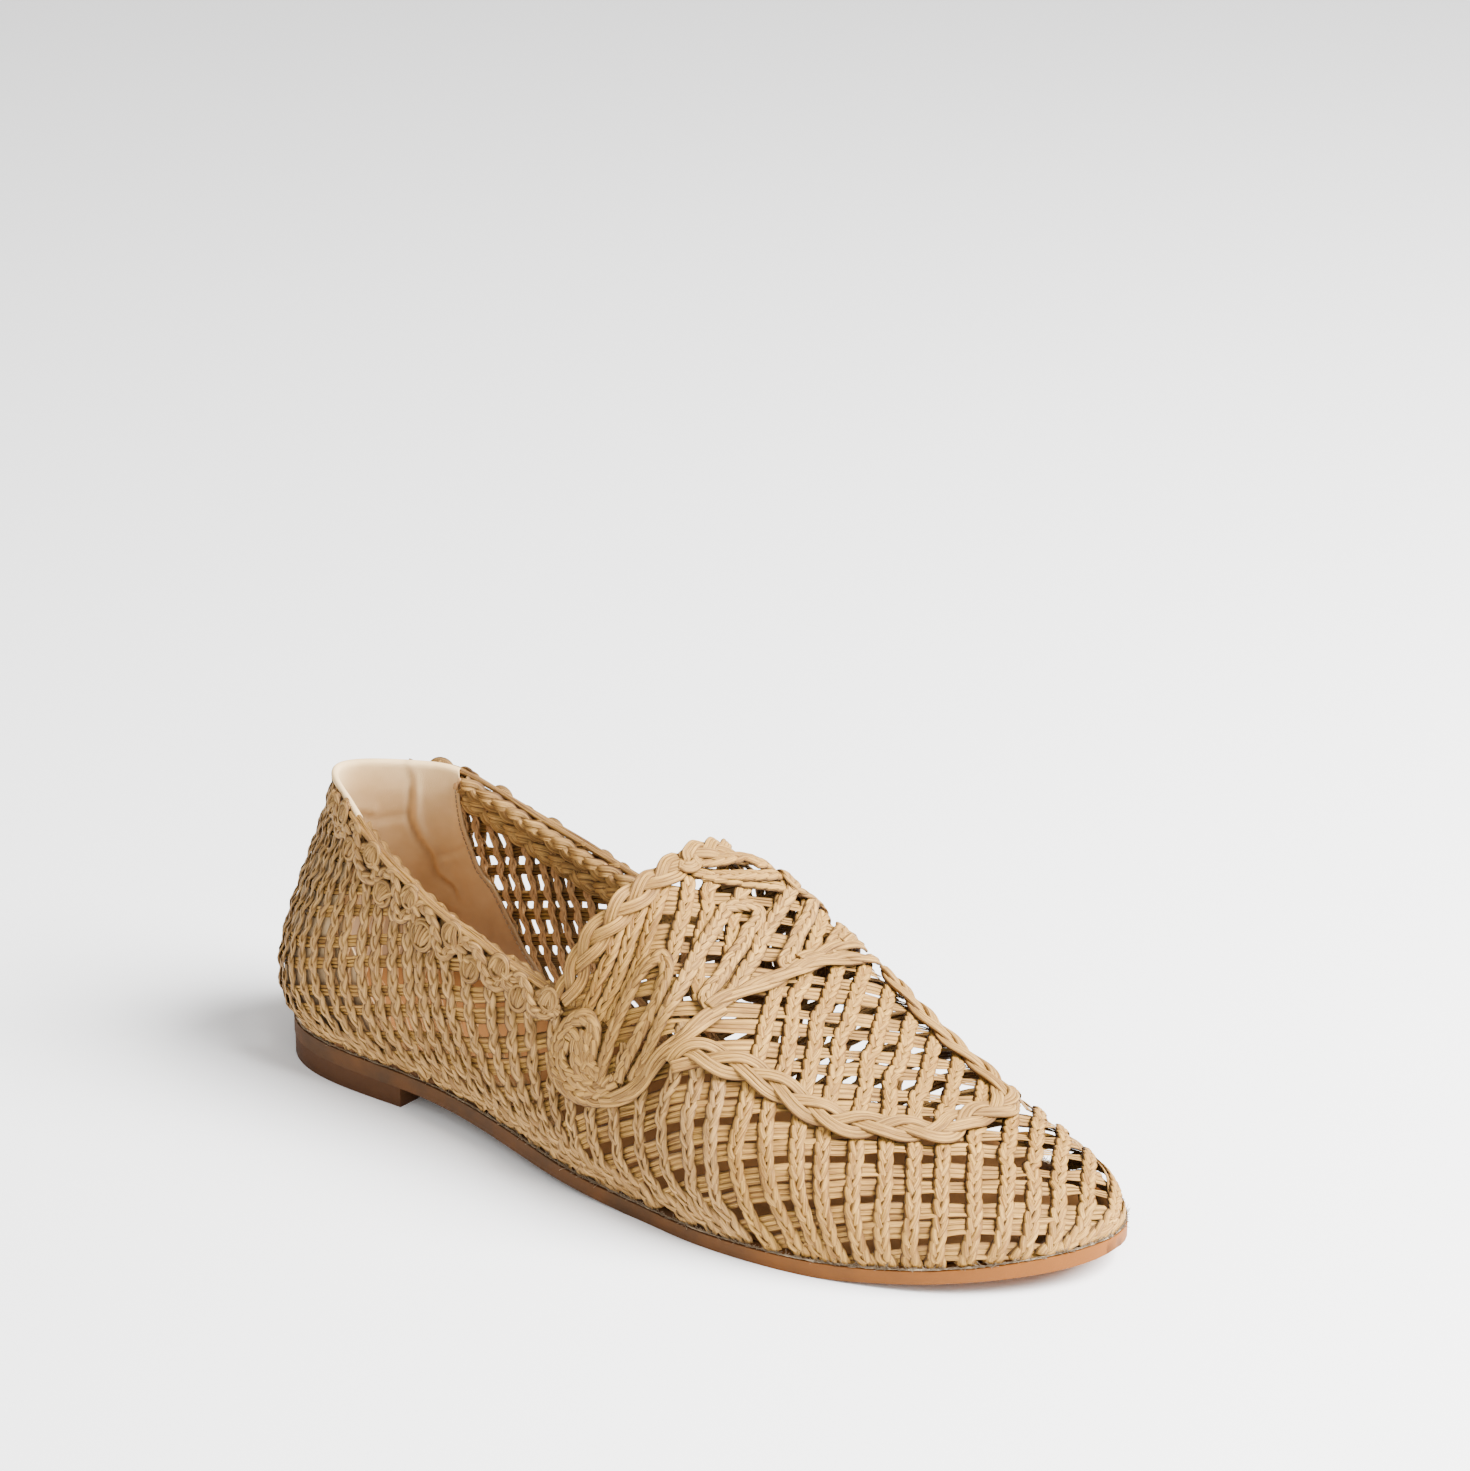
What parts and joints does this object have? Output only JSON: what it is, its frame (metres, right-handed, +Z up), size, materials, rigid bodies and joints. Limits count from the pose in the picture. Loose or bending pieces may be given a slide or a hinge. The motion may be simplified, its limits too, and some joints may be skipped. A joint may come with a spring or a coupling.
{
  "type": "woven moccasin",
  "caption": "Woven raffia slip-on moccasin with an open weave toe, raised apron seam, corded saddle strap, crocheted collar trim, thin leather sole and low heel.",
  "frame": {"origin": "Centre of the floor area under the shoe", "axes": "+X to the toe, +Y to the inner side of the foot, +Z up"},
  "size_m": [0.2561, 0.0903, 0.0778],
  "materials": {
    "raffia": "matte natural straw",
    "raffia_trim": "matte natural straw",
    "insole_leather": "smooth tan",
    "sole_leather": "satin brown edge",
    "heel_leather": "satin brown edge"
  },
  "bodies": {
    "root": {"upper": "raffia", "apron_seam": "raffia_trim", "saddle_strap": "raffia_trim", "tongue_braid": "raffia_trim", "collar_trim": "raffia_trim", "insole": "insole_leather", "outsole": "sole_leather", "heel_block": "heel_leather"}
  },
  "joints": []
}
